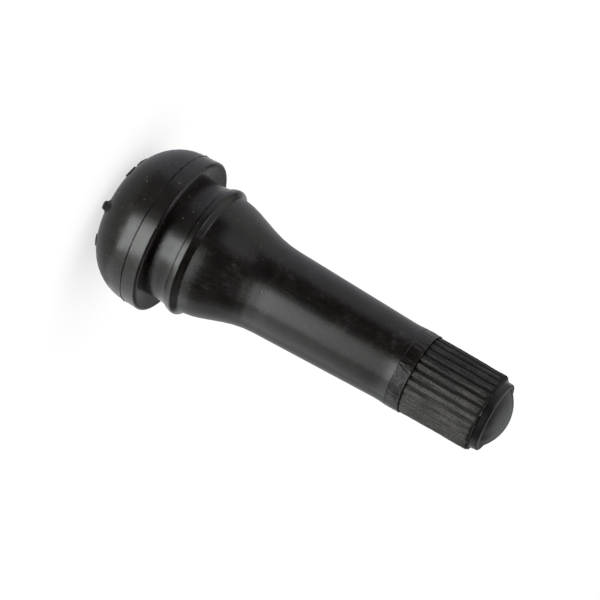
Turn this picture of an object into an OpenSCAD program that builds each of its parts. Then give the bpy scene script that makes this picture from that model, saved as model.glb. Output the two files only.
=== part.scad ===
// Snap-in rubber tyre valve with its valve core and its screwed dust cap.
// It stands on its head: the axis is +Z, the base flat is z = 0 and the cap is at the top.
// Lengths are in millimetres. The two fine screw threads are plain cylinders here.

/* [Rubber head] */
// Diameter of the flange that lies inside the rim
flange_d = 19.2; // [17.6:0.1:20]
// Diameter of the flat on the base that the valve stands on
base_flat_d = 6.9; // [6:0.1:8]
// Height of the flange's upper face over the base
head_h = 8.4; // [7.8:0.05:10]
// How far the flange's upper edge flares out past its side
flange_flare = 0.12; // [0.02:0.02:0.16]
// Rounding of the flange's upper edge
flange_edge_r = 0.35; // [0.2:0.05:0.5]
// Height of the moulding seam's thin rib over the rubber around it
seam_h = 0.18; // [0.05:0.01:0.2]
// Width of the moulding seam's rib at its root
seam_w = 0.24; // [0.15:0.01:0.3]
// Diameter of the air hole in the base
air_hole_d = 4; // [3.6:0.1:4.6]
// Rounding of the air hole's mouth
air_hole_edge_r = 0.4; // [0.2:0.05:0.6]

/* [Moulding pip] */
// Height of the pip that the mould's vent leaves on the head
pip_h = 0.56; // [0.3:0.02:0.58]
// Diameter of the pip at its root
pip_root_d = 1.8; // [1.2:0.1:2]
// Diameter of the pip at its tip
pip_tip_d = 0.6; // [0.3:0.05:0.8]
// Distance of the pip's root from the valve's axis
pip_reach = 6.2; // [6:0.1:7]
// Direction of the pip around the axis, in degrees from +X
pip_angle = -80; // [-180:1:180]

/* [Rim groove and seal] */
// Diameter of the groove's neck beside the flange
neck_d = 14.7; // [13.6:0.1:15]
// How far the neck widens from the flange to the sealing bulge, on the radius
neck_flare = 0.35; // [0.2:0.05:0.5]
// Fillet between the neck and the flange
neck_fillet_r = 0.3; // [0.2:0.05:0.6]
// How far the flange's upper face dips from its edge to the neck
flange_dip = 0.3; // [0.1:0.05:0.5]
// Width of the groove that grips the rim
groove_w = 2.55; // [2.2:0.05:4]
// Height of the sealing bulge over the neck beside it
bulge_h = 0.38; // [0.3:0.02:0.8]
// Length of the bulge's slope on the rim's side
bulge_rise = 0.65; // [0.5:0.05:0.8]
// Length of the bulge's crest
bulge_land = 0.46; // [0.4:0.02:0.6]
// Length of the bulge's slope on the stem's side
bulge_fall = 0.55; // [0.45:0.05:0.8]
// Rounding of the bulge's edges
bulge_edge_r = 0.28; // [0.1:0.02:0.3]
// Length of the short shoulder above the bulge
shoulder_w = 1.4; // [1.2:0.1:1.8]
// Height of the sealing bulge over that shoulder
shoulder_drop = 0.63; // [0.4:0.01:0.8]
// How far the shoulder tapers along its length, on the radius
shoulder_taper = 0.17; // [0.1:0.01:0.3]
// Radius of the curve between the shoulder and the cone
shoulder_blend_r = 8; // [4:0.5:9]

/* [Rubber stem] */
// Length of the cone from the shoulder to the slim stem
cone_h = 5.35; // [4.8:0.05:7]
// Diameter of the stem where the cone runs into it
stem_root_d = 10.84; // [10.4:0.02:11.6]
// Diameter of the stem just under the flare to its end collar
stem_end_d = 9.65; // [9.5:0.05:10.2]
// Radius of the curve between the cone and the stem
stem_blend_r = 13; // [8:0.5:16]
// Length of the rubber from the base to its end
rubber_len = 40.45; // [38:0.05:44]
// Length of the collar at the rubber's end
collar_w = 1.65; // [1:0.05:2.5]
// Height of that collar over the stem under it
collar_rise = 0.1; // [0.04:0.02:0.2]
// Length of the stem's flare up to that collar
collar_flare = 0.85; // [0.6:0.05:1.2]
// Radius of the curve that leads into the flare
flare_bend_r = 5; // [3:0.5:6]

/* [Brass stem] */
// Length of thread that stands out of the rubber
thread_len = 8.05; // [7.5:0.05:9.5]
// Outer diameter of the cap's thread
thread_d = 7.7; // [7.5:0.05:7.9]
// Chamfer at the stem's tip
tip_chamfer = 0.4; // [0.2:0.05:0.6]
// Chamfer at the mouth of the core's hole
mouth_chamfer = 0.28; // [0.1:0.02:0.4]
// Diameter of the tube inside the rubber
tube_d = 7; // [6.8:0.1:7.3]
// Length of the thread's run-out down to the tube
thread_runout = 0.35; // [0.2:0.05:0.8]
// Height of the tube's foot over the base
foot_z = 4.6; // [4:0.1:5.5]
// Diameter of the foot that anchors the tube
foot_d = 8.2; // [7.8:0.1:9]
// Thickness of that foot
foot_t = 1.2; // [0.8:0.1:1.8]
// Depth of each ring groove that keys the rubber
key_depth = 0.3; // [0.1:0.05:0.4]
// Width of each ring groove
key_w = 1; // [0.6:0.1:1.6]
// Distance between the ring grooves
key_pitch = 4; // [3:0.5:5]
// Number of ring grooves
key_count = 4; // [2:1:5]
// Diameter of the air passage in the tube's lower part
passage_d = 3.4; // [3:0.1:3.7]

/* [Valve core] */
// Outer diameter of the core's thread
core_thread_d = 5.2; // [5.1:0.05:5.4]
// Height of the plug's flat-sided head
plug_head_h = 1.6; // [1.2:0.1:2.2]
// Diameter of the plug's head
plug_head_d = 4.5; // [4.2:0.1:4.8]
// Width across the flats of the plug's head
plug_flats_w = 2.3; // [2.1:0.1:2.6]
// Length of the plug's threaded part
plug_thread_len = 3.5; // [3:0.1:4.5]
// Thickness of the plug's bridge over its hollow
plug_bridge_t = 0.6; // [0.4:0.1:0.9]
// Thickness of the plug's lip that holds the barrel
plug_lip_t = 0.7; // [0.5:0.1:0.9]
// Wall of the barrel's neck that the plug turns on
swivel_wall = 0.2; // [0.15:0.01:0.3]
// How far the flange on top of that neck stands out
swivel_flange_h = 0.28; // [0.2:0.02:0.35]
// Thickness of that flange
swivel_flange_t = 0.5; // [0.3:0.05:0.6]
// Wall of the barrel's tube
barrel_wall = 0.42; // [0.36:0.02:0.5]
// Length of the barrel's tube below the gasket
barrel_len = 8; // [7:0.1:9]
// Thickness of the barrel's floor that carries the spring
barrel_floor_t = 1.2; // [0.8:0.1:1.6]
// Thickness of the barrel's shoulder over the gasket
barrel_shoulder_t = 0.6; // [0.4:0.1:0.9]
// Length of the gasket
gasket_len = 1.9; // [1.5:0.1:2.4]
// Depth of the barrel's groove that holds the gasket
gasket_groove = 0.2; // [0.1:0.02:0.22]
// Diameter of the gasket's upper end
gasket_d = 4.6; // [4.5:0.05:4.7]
// Diameter of the gasket's lower end
gasket_low_d = 3.8; // [3.6:0.05:3.9]

/* [Pin and spring] */
// Depth of the pin's top below the stem's tip
pin_recess = 0.2; // [0.1:0.05:0.3]
// Diameter of the pin
pin_d = 1.1; // [1:0.02:1.2]
// Diameter of the pin's pressed head
pin_head_d = 1.6; // [1.54:0.02:1.8]
// Thickness of the pin's pressed head
pin_head_t = 0.5; // [0.3:0.05:0.6]
// How far the collar that the spring lifts stands out of the pin
pin_collar_h = 0.5; // [0.46:0.02:0.56]
// Thickness of that collar
pin_collar_t = 0.4; // [0.3:0.05:0.6]
// Diameter of the rivet head below the cup
rivet_d = 1.7; // [1.5:0.1:2]
// Thickness of that rivet head
rivet_t = 0.4; // [0.3:0.05:0.6]
// Diameter of the cup on the pin's lower end
cup_d = 3.1; // [2.9:0.1:3.2]
// Height of the cup
cup_h = 1.3; // [1:0.1:1.5]
// Thickness of the cup's wall
cup_t = 0.22; // [0.15:0.01:0.26]
// Height of the seal over the cup's edge
seal_stand = 0.4; // [0.2:0.05:0.6]
// Travel of the pin when it is pressed
pin_travel = 1.6; // [1.2:0.05:1.8]
// Length of the spring
spring_len = 7.6; // [6.5:0.1:8]
// Diameter of the spring's wire
wire_d = 0.3; // [0.24:0.02:0.32]
// Number of the spring's coils
coils = 9; // [7:1:10]

/* [Dust cap] */
// Wall between the cap's bore and the floor of its grip grooves
cap_wall = 0.48; // [0.4:0.02:0.7]
// How far the grip ridges widen towards the cap's open end, on the radius
cap_taper = 0.06; // [0.02:0.01:0.1]
// Number of grip ridges
ridges = 28; // [24:1:32]
// Depth of the grooves between the ridges
ridge_h = 0.3; // [0.2:0.02:0.34]
// Width of each groove at its mouth
groove_mouth_w = 0.5; // [0.3:0.02:0.52]
// Width of each groove at its floor
groove_floor_w = 0.22; // [0.1:0.02:0.28]
// Direction of the first groove around the axis, in degrees from +X
groove_angle = 9.5; // [0:0.5:12]
// Bevel at both ends of the grip ridges
ridge_bevel = 0.18; // [0.1:0.02:0.26]
// Wall between the cap's bore and the plain collar above the ridges
crown_wall = 0.3; // [0.24:0.02:0.44]
// Height of that collar
crown_h = 1.3; // [1:0.05:1.6]
// How far that collar tapers towards the dome, on the radius
crown_draft = 0.1; // [0.02:0.02:0.16]
// Bevel on the collar's rim
crown_bevel = 0.12; // [0.06:0.02:0.2]
// Width of the collar's flat rim around the dome
crown_ledge = 0.6; // [0.3:0.02:0.8]
// Height of the dome over the collar
dome_h = 1.5; // [1.2:0.02:1.8]
// Distance of the ridges' upper end below the cap's inner ceiling
ridge_drop = 0.25; // [0.2:0.05:0.4]
// Bevel that leads the cap onto the thread
cap_lead = 0.2; // [0.1:0.02:0.24]
// Thickness of the washer in the cap
washer_t = 0.9; // [0.7:0.05:1.2]
// Hole in that washer, which leaves room for the pin
washer_hole_d = 3.8; // [3.6:0.1:4.2]
// Depth of the recess over that hole
recess_h = 0.75; // [0.7:0.05:1]

/* [Clearances] */
// Gap around the cap's thread
cap_gap = 0.07; // [0.04:0.01:0.1]
// Gap between the rubber's end and the cap's open end
skirt_gap = 0.1; // [0.05:0.01:0.3]
// Gap around the core's thread
core_gap = 0.07; // [0.04:0.01:0.1]
// Gap around the pin, the swivel and the washer
running_gap = 0.06; // [0.04:0.01:0.08]
// Gap between the gasket and its cone seat
seat_gap = 0.04; // [0.02:0.01:0.06]
// Gap between the pin's head and the plug when the pin is pressed home
stop_gap = 0.2; // [0.1:0.05:0.4]
// Space for air around the pin where it passes through the core
pin_gap = 0.18; // [0.12:0.01:0.2]
// Gap between the closed coils at the spring's ends
coil_gap = 0.03; // [0.02:0.01:0.05]
// Space for air around the core inside the stem
air_gap = 0.35; // [0.25:0.05:0.4]

/* [Hidden] */
$fn = 96;
arc_step = 7.5;
over = 1;

rubber_colour = "#1b1b1d";
cap_colour = "#2b2c2e";
brass_colour = "#b8923f";
steel_colour = "#b9bcc0";
gasket_colour = "#d8d6cf";
washer_colour = "#1f1f1f";

flange_r = flange_d / 2;
neck_r = neck_d / 2;
neck_top_r = neck_r + neck_flare;
bulge_r = neck_top_r + bulge_h;
shoulder_r = bulge_r - shoulder_drop;
shoulder_top_r = shoulder_r - shoulder_taper;
collar_r = stem_end_d / 2 + collar_rise;
head_arc_r = flange_r - base_flat_d / 2;
neck_top_z = head_h + groove_w;
bulge_land_z = neck_top_z + bulge_rise;
bulge_fall_z = bulge_land_z + bulge_land;
shoulder_z = bulge_fall_z + bulge_fall;
cone_z = shoulder_z + shoulder_w;
stem_z = cone_z + cone_h;
collar_z = rubber_len - collar_w;
tip_z = rubber_len + thread_len;

pin_top_z = tip_z - pin_recess;
plug_top_z = pin_top_z - pin_head_t - pin_travel - stop_gap;
plug_thread_z = plug_top_z - plug_head_h;
plug_z = plug_thread_z - plug_thread_len;
plug_hollow_top_z = plug_thread_z - plug_bridge_t;
plug_hollow_z = plug_z + plug_lip_t;
pin_hole_d = pin_d + 2 * pin_gap;
pin_collar_d = pin_d + 2 * pin_collar_h;
barrel_bore_d = pin_collar_d + 2 * pin_gap;
barrel_d = barrel_bore_d + 2 * barrel_wall;
gasket_groove_d = barrel_d - 2 * gasket_groove;
swivel_d = barrel_bore_d + 2 * swivel_wall;
swivel_flange_d = swivel_d + 2 * swivel_flange_h;
plug_hollow_d = swivel_flange_d + 2 * running_gap;
barrel_top_z = plug_hollow_z + running_gap + swivel_flange_t;
barrel_shoulder_z = plug_z - running_gap - barrel_shoulder_t;
gasket_z = barrel_shoulder_z - gasket_len;
barrel_z = gasket_z - barrel_len;
barrel_floor_z = barrel_z + barrel_floor_t;
gasket_slope = (gasket_d - gasket_low_d) / 2 / gasket_len;

pin_collar_z = barrel_floor_z + spring_len + 2 * running_gap;
cup_z = barrel_z - seal_stand - cup_h;
rivet_z = cup_z - rivet_t;
chamber_z = rivet_z - pin_travel - air_gap;
chamber_d = max(barrel_d, cup_d) + 2 * air_gap;
closed_pitch = wire_d + coil_gap;

cap_z = rubber_len + skirt_gap;
cap_ceiling_z = tip_z + washer_t;
ridge_top_z = cap_ceiling_z - ridge_drop;
crown_top_z = ridge_top_z + crown_h;
cap_bore_d = thread_d + 2 * cap_gap;
cap_root_r = cap_bore_d / 2 + cap_wall;
cap_top_r = cap_root_r + ridge_h;
cap_r = cap_top_r + cap_taper;
crown_r = cap_bore_d / 2 + crown_wall;
crown_foot_r = crown_r + crown_draft / 2;
crown_top_r = crown_r - crown_draft / 2;
dome_d = 2 * (crown_r - crown_ledge);
washer_d = cap_bore_d - 2 * running_gap;
dome_r = (pow(dome_d / 2, 2) + pow(dome_h, 2)) / 2 / dome_h;

function unit(v) = v / norm(v);
function flat(p) = [p.x, p.y];
function turn_between(a, b) = atan2(a.x * b.y - a.y * b.x, a * b);

// Points that round the corner p, between its neighbours a and b, with the radius p[2]
function round_corner(a, p, b) =
    let (u = unit(flat(a) - flat(p)), v = unit(flat(b) - flat(p)), half = acos(u * v) / 2)
    let (centre = flat(p) + unit(u + v) * p[2] / sin(half))
    let (from = flat(p) + u * p[2] / tan(half) - centre, to = flat(p) + v * p[2] / tan(half) - centre)
    let (sweep = turn_between(from, to), steps = ceil(abs(sweep) / arc_step), start = atan2(from.y, from.x))
    [for (i = [0 : steps]) centre + p[2] * [cos(start + sweep * i / steps), sin(start + sweep * i / steps)]];

// Outline through corners [radius, height] or [radius, height, rounding]
function outline(corners) = [
    for (i = [0 : len(corners) - 1])
        let (p = corners[i], last = len(corners) - 1)
        each p[2] == undef ? [p]
            : round_corner(corners[i == 0 ? last : i - 1], p, corners[i == last ? 0 : i + 1])
];

module turned(corners) {
    rotate_extrude() polygon(outline(corners));
}

module tube(z, height, outer_d, inner_d) {
    translate([0, 0, z]) difference() {
        cylinder(h = height, d = outer_d);
        translate([0, 0, -over]) cylinder(h = height + 2 * over, d = inner_d);
    }
}

module hole(z, height, d) {
    translate([0, 0, z]) cylinder(h = height, d = d);
}

// Three corners of the thin rib that the mould's joint leaves at radius r and height z
function seam(r, z) = [[r, z - seam_w / 2], [r + seam_h, z], [r, z + seam_w / 2]];

module rubber_outside() {
    head_seam_z = head_arc_r + seam_w;
    turned(concat(
        [[0, 0], [flange_r, 0, head_arc_r]],
        seam(flange_r, head_seam_z),
        [
            [flange_r + flange_flare, head_h, flange_edge_r],
            [neck_r, head_h - flange_dip, neck_fillet_r],
            [neck_top_r, neck_top_z - seam_w / 2]
        ],
        seam(neck_top_r, neck_top_z + seam_w / 2),
        [
            [bulge_r, bulge_land_z, bulge_edge_r],
            [bulge_r, bulge_fall_z, bulge_edge_r],
            [shoulder_r, shoulder_z, bulge_edge_r],
            [shoulder_top_r, cone_z, shoulder_blend_r],
            [stem_root_d / 2, stem_z, stem_blend_r],
            [stem_end_d / 2, collar_z - collar_flare, flare_bend_r],
            [collar_r, collar_z],
            [collar_r, rubber_len, collar_rise],
            [0, rubber_len]
        ]));
}

// The small pip stands square on the head's round shoulder
module pip() {
    lean = asin((pip_reach - base_flat_d / 2) / head_arc_r);
    root_z = head_arc_r * (1 - cos(lean));
    sunk = pip_root_d / 4;
    rotate([0, 0, pip_angle]) translate([pip_reach, 0, root_z]) rotate([0, 180 - lean, 0])
        translate([0, 0, -sunk]) cylinder(h = pip_h + sunk, d1 = pip_root_d, d2 = pip_tip_d);
}

// Outside of the brass tube, which the rubber is moulded around
module stem_blank() {
    key_z = neck_top_z;
    difference() {
        turned([
            [0, foot_z],
            [foot_d / 2, foot_z],
            [foot_d / 2, foot_z + foot_t],
            [tube_d / 2, foot_z + foot_t + (foot_d - tube_d) / 2],
            [tube_d / 2, rubber_len - skirt_gap - thread_runout],
            [thread_d / 2, rubber_len - skirt_gap],
            [thread_d / 2, tip_z - tip_chamfer],
            [thread_d / 2 - tip_chamfer, tip_z],
            [0, tip_z]
        ]);
        for (i = [0 : key_count - 1])
            tube(key_z + i * key_pitch, key_w, foot_d, tube_d - 2 * key_depth);
    }
}

module rubber_body() {
    color(rubber_colour) difference() {
        union() {
            rubber_outside();
            pip();
        }
        stem_blank();
        turned([
            [0, -over],
            [air_hole_d / 2 + air_hole_edge_r, -over],
            [air_hole_d / 2 + air_hole_edge_r, 0],
            [air_hole_d / 2, air_hole_edge_r],
            [air_hole_d / 2, foot_z + over],
            [0, foot_z + over]
        ]);
    }
}

module brass_stem() {
    core_hole_d = core_thread_d + 2 * core_gap;
    core_hole_z = plug_z - running_gap;
    seat_d = gasket_d + 2 * seat_gap;
    seat_low_z = gasket_z - (gasket_low_d + 2 * seat_gap - chamber_d) / 2 / gasket_slope;
    color(brass_colour) difference() {
        stem_blank();
        turned([
            [0, foot_z - over],
            [passage_d / 2, foot_z - over],
            [passage_d / 2, chamber_z],
            [chamber_d / 2, chamber_z],
            [chamber_d / 2, seat_low_z],
            [seat_d / 2, barrel_shoulder_z],
            [core_hole_d / 2, core_hole_z],
            [core_hole_d / 2, tip_z - mouth_chamfer],
            [core_hole_d / 2 + mouth_chamfer, tip_z],
            [core_hole_d / 2 + mouth_chamfer, tip_z + over],
            [0, tip_z + over]
        ]);
    }
}

module core_plug() {
    color(brass_colour) difference() {
        union() {
            tube(plug_z, plug_thread_len, core_thread_d, pin_hole_d);
            intersection() {
                hole(plug_thread_z - plug_bridge_t, plug_head_h + plug_bridge_t, plug_head_d);
                translate([-core_thread_d / 2, -plug_flats_w / 2, plug_z])
                    cube([core_thread_d, plug_flats_w, tip_z]);
            }
        }
        hole(plug_z - over, plug_lip_t + over + over, swivel_d + 2 * running_gap);
        hole(plug_hollow_z, plug_hollow_top_z - plug_hollow_z, plug_hollow_d);
        hole(plug_z, tip_z - plug_z, pin_hole_d);
        // Air passes on both sides of the bridge
        for (side = [0, 180]) rotate([0, 0, side]) intersection() {
            hole(plug_hollow_z, tip_z - plug_hollow_z, plug_hollow_d);
            translate([-core_thread_d / 2, plug_flats_w / 2, plug_hollow_z])
                cube([core_thread_d, core_thread_d, tip_z]);
        }
    }
}

module core_barrel() {
    color(brass_colour) difference() {
        turned([
            [0, barrel_z],
            [cup_d / 2 - cup_t - running_gap, barrel_z],
            [barrel_d / 2, barrel_z + seal_stand],
            [barrel_d / 2, gasket_z],
            [gasket_groove_d / 2, gasket_z],
            [gasket_groove_d / 2, barrel_shoulder_z],
            [gasket_d / 2, barrel_shoulder_z],
            [gasket_d / 2, barrel_shoulder_z + barrel_shoulder_t],
            [swivel_d / 2, barrel_shoulder_z + barrel_shoulder_t],
            [swivel_d / 2, barrel_top_z - swivel_flange_t],
            [swivel_flange_d / 2, barrel_top_z - swivel_flange_t],
            [swivel_flange_d / 2, barrel_top_z],
            [0, barrel_top_z]
        ]);
        hole(barrel_floor_z, tip_z - barrel_floor_z, barrel_bore_d);
        hole(barrel_z - over, tip_z - barrel_z, pin_hole_d);
    }
}

module barrel_gasket() {
    color(gasket_colour) difference() {
        translate([0, 0, gasket_z]) cylinder(h = gasket_len, d1 = gasket_low_d, d2 = gasket_d);
        hole(gasket_z - over, gasket_len + 2 * over, gasket_groove_d);
    }
}

// Height of the wire's centre after a number of coils: the end coils lie closed
function coil_height(turn) =
    let (free_coils = coils - 2, free = (spring_len - wire_d - 2 * closed_pitch) / free_coils)
    wire_d / 2 + closed_pitch * min(turn, 1) + free * min(max(turn - 1, 0), free_coils)
        + closed_pitch * max(turn - coils + 1, 0);

module core_spring() {
    sides = 8;
    rings_per_coil = 18;
    rings = coils * rings_per_coil;
    coil_r = (pin_collar_d - wire_d) / 2 - running_gap;
    points = [
        for (i = [0 : rings], k = [0 : sides - 1])
            let (turn = i / rings_per_coil, r = coil_r + wire_d / 2 * cos(360 * k / sides))
            [r * cos(360 * turn), r * sin(360 * turn), coil_height(turn) + wire_d / 2 * sin(360 * k / sides)]
    ];
    walls = [
        for (i = [0 : rings - 1], k = [0 : sides - 1])
            let (a = i * sides, b = a + sides, next = (k + 1) % sides)
            each [[a + k, b + k, b + next], [a + k, b + next, a + next]]
    ];
    first_end = [for (k = [0 : sides - 1]) k];
    last_end = [for (k = [0 : sides - 1]) rings * sides + sides - 1 - k];
    color(steel_colour) translate([0, 0, barrel_floor_z + running_gap])
        polyhedron(points = points, faces = concat(walls, [first_end, last_end]));
}

module core_pin() {
    color(brass_colour) turned([
        [0, rivet_z],
        [rivet_d / 2, rivet_z, rivet_t / 2],
        [rivet_d / 2, cup_z],
        [pin_d / 2, cup_z],
        [pin_d / 2, pin_collar_z],
        [pin_collar_d / 2, pin_collar_z],
        [pin_collar_d / 2, pin_collar_z + pin_collar_t],
        [pin_d / 2, pin_collar_z + pin_collar_t],
        [pin_d / 2, pin_top_z - pin_head_t],
        [pin_head_d / 2, pin_top_z - pin_head_t],
        [pin_head_d / 2, pin_top_z, pin_head_t / 2],
        [0, pin_top_z]
    ]);
}

module pin_cup() {
    color(brass_colour) difference() {
        hole(cup_z, cup_h, cup_d);
        hole(cup_z + cup_t, cup_h, cup_d - 2 * cup_t);
        hole(cup_z - over, cup_h, pin_d);
    }
}

module cup_seal() {
    color(washer_colour) tube(cup_z + cup_t, barrel_z - cup_z - cup_t, cup_d - 2 * cup_t, pin_d);
}

module cap_shell() {
    pitch = 360 / ridges;
    color(cap_colour) difference() {
        union() {
            difference() {
                turned([
                    [0, cap_z],
                    [cap_r - ridge_bevel, cap_z],
                    [cap_r, cap_z + ridge_bevel],
                    [cap_top_r, ridge_top_z - ridge_bevel],
                    [cap_top_r - ridge_bevel, ridge_top_z],
                    [0, ridge_top_z]
                ]);
                for (i = [0 : ridges - 1])
                    rotate([0, 0, groove_angle + i * pitch]) translate([cap_root_r, 0, cap_z - over])
                        linear_extrude(height = ridge_top_z - cap_z + 2 * over)
                            polygon([
                                [0, -groove_floor_w / 2],
                                [ridge_h, -groove_mouth_w / 2],
                                [ridge_h + over, -groove_mouth_w / 2],
                                [ridge_h + over, groove_mouth_w / 2],
                                [ridge_h, groove_mouth_w / 2],
                                [0, groove_floor_w / 2]
                            ]);
            }
            turned([
                [0, ridge_top_z - over],
                [crown_foot_r, ridge_top_z - over],
                [crown_foot_r, ridge_top_z],
                [crown_top_r, crown_top_z - crown_bevel],
                [crown_top_r - crown_bevel, crown_top_z],
                [0, crown_top_z]
            ]);
            dome();
        }
        turned([
            [0, cap_z - over],
            [cap_bore_d / 2 + cap_lead, cap_z - over],
            [cap_bore_d / 2 + cap_lead, cap_z],
            [cap_bore_d / 2, cap_z + cap_lead],
            [cap_bore_d / 2, cap_ceiling_z],
            [0, cap_ceiling_z]
        ]);
        hole(cap_ceiling_z - over, recess_h + over, washer_hole_d);
    }
}

// Upper part of a sphere that meets the collar's flat rim at dome_d
module dome() {
    intersection() {
        translate([0, 0, crown_top_z + dome_h - dome_r]) sphere(r = dome_r);
        hole(crown_top_z - crown_bevel, dome_h + over, dome_d);
    }
}

module cap_seal() {
    color(washer_colour) tube(tip_z, washer_t, washer_d, washer_hole_d);
}

rubber_body();
brass_stem();
core_plug();
core_barrel();
barrel_gasket();
core_spring();
core_pin();
pin_cup();
cup_seal();
cap_shell();
cap_seal();
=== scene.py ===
import math

import bmesh
import bpy
from mathutils import Euler, Matrix, Vector


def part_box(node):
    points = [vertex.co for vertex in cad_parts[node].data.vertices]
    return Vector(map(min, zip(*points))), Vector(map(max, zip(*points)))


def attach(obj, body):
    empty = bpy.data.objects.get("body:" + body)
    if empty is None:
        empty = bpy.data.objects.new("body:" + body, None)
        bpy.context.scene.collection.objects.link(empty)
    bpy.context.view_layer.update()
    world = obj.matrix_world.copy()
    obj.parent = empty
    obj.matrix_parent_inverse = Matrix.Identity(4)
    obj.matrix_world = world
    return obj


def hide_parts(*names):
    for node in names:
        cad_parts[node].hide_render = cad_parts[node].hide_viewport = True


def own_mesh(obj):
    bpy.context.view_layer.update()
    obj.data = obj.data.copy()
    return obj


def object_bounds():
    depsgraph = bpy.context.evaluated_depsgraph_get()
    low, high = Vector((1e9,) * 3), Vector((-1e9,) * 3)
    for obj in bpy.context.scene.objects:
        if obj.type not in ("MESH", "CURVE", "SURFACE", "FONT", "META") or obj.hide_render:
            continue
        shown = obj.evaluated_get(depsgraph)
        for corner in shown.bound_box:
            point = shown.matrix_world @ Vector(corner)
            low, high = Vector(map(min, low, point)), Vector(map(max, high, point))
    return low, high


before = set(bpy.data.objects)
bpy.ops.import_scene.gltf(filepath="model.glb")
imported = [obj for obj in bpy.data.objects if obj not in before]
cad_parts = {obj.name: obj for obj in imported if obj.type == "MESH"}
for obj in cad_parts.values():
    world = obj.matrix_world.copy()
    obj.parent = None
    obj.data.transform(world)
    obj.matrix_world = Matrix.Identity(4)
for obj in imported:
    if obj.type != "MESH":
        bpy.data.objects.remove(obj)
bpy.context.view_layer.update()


# Brass stem. A tube turned from brass bar, with a foot and ring grooves that lock it into the rubber.
# Its tip has a rolled outer thread for the dust cap and a tapped inner thread for the valve core.

MM = 0.001
INCH = 25.4
FULL_TURN = 2 * math.pi
SHARP_EDGE = math.radians(38)


def extent(node):
    """Lowest height, highest height and outer radius of a CAD node, in mm."""
    low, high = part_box(node)
    return low.z / MM, high.z / MM, high.x / MM


def in_mm(**sizes):
    """Named sizes in mm, turned to metres."""
    return {name: size * MM for name, size in sizes.items()}


def rounded(corners, bend_step=math.radians(7)):
    """Outline through corners (radius, height) or (radius, height, rounding), with an arc at a rounding."""
    points = []
    for i, corner in enumerate(corners):
        here = Vector(corner[:2])
        if len(corner) == 2:
            points.append(here)
            continue
        back = (Vector(corners[i - 1][:2]) - here).normalized()
        ahead = (Vector(corners[(i + 1) % len(corners)][:2]) - here).normalized()
        half = back.angle(ahead) / 2
        centre = here + (back + ahead).normalized() * (corner[2] / math.sin(half))
        first = here + back * (corner[2] / math.tan(half)) - centre
        last = here + ahead * (corner[2] / math.tan(half)) - centre
        sweep = math.atan2(first.x * last.y - first.y * last.x, first.dot(last))
        steps = max(2, math.ceil(abs(sweep) / bend_step))
        points += [centre + Matrix.Rotation(sweep * k / steps, 2) @ first for k in range(steps + 1)]
    same_spot = 1e-4
    return [p for p, q in zip(points, points[1:] + points[:1]) if (p - q).length > same_spot]


def turned(name, corners, sides, longest, fine_bands=()):
    """A closed piece turned about the valve's axis. Its outline is a ring, or runs from the axis to the axis.
    No step along it is longer than longest, or than a fine band (foot, top, step) asks; all in mm."""
    points = rounded(corners)
    ring = points[0].x > 0
    outline = []
    for a, b in zip(points, points[1:] + points[:1]):
        middle = (a.y + b.y) / 2
        step = min([longest] + [size for foot, top, size in fine_bands if foot < middle < top])
        parts = max(1, math.ceil((b - a).length / step))
        outline += [a.lerp(b, k / parts) for k in range(parts)]
    if not ring:
        outline = outline[:outline.index(points[-1]) + 1]
    shape = bmesh.new()
    angles = [FULL_TURN * k / sides for k in range(sides)]
    rings = []
    for p in outline:
        spots = [(p.x * math.cos(a), p.x * math.sin(a), p.y) for a in (angles if p.x > 0 else [0])]
        rings.append([shape.verts.new(Vector(spot) * MM) for spot in spots])
    for low, high in zip(rings, rings[1:] + (rings[:1] if ring else [])):
        for k in range(sides):
            after = k + 1
            around = (low[k % len(low)], low[after % len(low)], high[after % len(high)], high[k % len(high)])
            shape.faces.new(tuple(dict.fromkeys(around)))
    bmesh.ops.recalc_face_normals(shape, faces=shape.faces)
    return as_piece(name, shape)


def as_piece(name, shape):
    """A smooth-shaded object at the origin from a bmesh, with its sharp edges kept sharp."""
    mesh = bpy.data.meshes.new(name)
    shape.to_mesh(mesh)
    shape.free()
    mesh.shade_smooth()
    mesh.set_sharp_from_angle(angle=SHARP_EDGE)
    piece = bpy.data.objects.new(name, mesh)
    bpy.context.scene.collection.objects.link(piece)
    return piece


# A map range reads from input 1 to input 2 and gives input 3 to input 4
MATH, VECTOR_MATH, MAP_RANGE = "ShaderNodeMath", "ShaderNodeVectorMath", "ShaderNodeMapRange"
NOISE, COLOUR_RAMP, BUMP = "ShaderNodeTexNoise", "ShaderNodeValToRGB", "ShaderNodeBump"


def feed(tree, node, links):
    """Links a node's inputs to a node or socket, or sets them to a value."""
    for key, value in links.items():
        if isinstance(value, bpy.types.Node):
            value = value.outputs[0]
        if isinstance(value, bpy.types.NodeSocket):
            tree.links.new(value, node.inputs[key])
        else:
            node.inputs[key].default_value = value


def add(tree, kind, links=None, operation=None, stops=(), **settings):
    """Adds one node: what its inputs are fed, its operation if it has a choice of them, the colours of a ramp
    as (place, hex colour), first the two ends and then those between them, and other settings by name."""
    node = tree.nodes.new(kind)
    if operation:
        node.operation = operation
    for name, value in settings.items():
        setattr(node, name, value)
    feed(tree, node, links or {})
    for i, (place, colour) in enumerate(stops):
        stop = node.color_ramp.elements[i] if i < 2 else node.color_ramp.elements.new(place)
        stop.position = place
        stop.color = linear(colour)
    return node


def linear(hex_colour):
    """An sRGB hex colour as linear RGBA."""
    parts = [int(hex_colour[i:i + 2], 16) / 255 for i in (1, 3, 5)]
    return tuple(c / 12.92 if c <= 0.04045 else ((c + 0.055) / 1.055) ** 2.4 for c in parts) + (1.0,)


def per_mm(size):
    """Texture scale, in patterns per metre, of a pattern of this size in mm."""
    return 1 / (size * MM)


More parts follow.
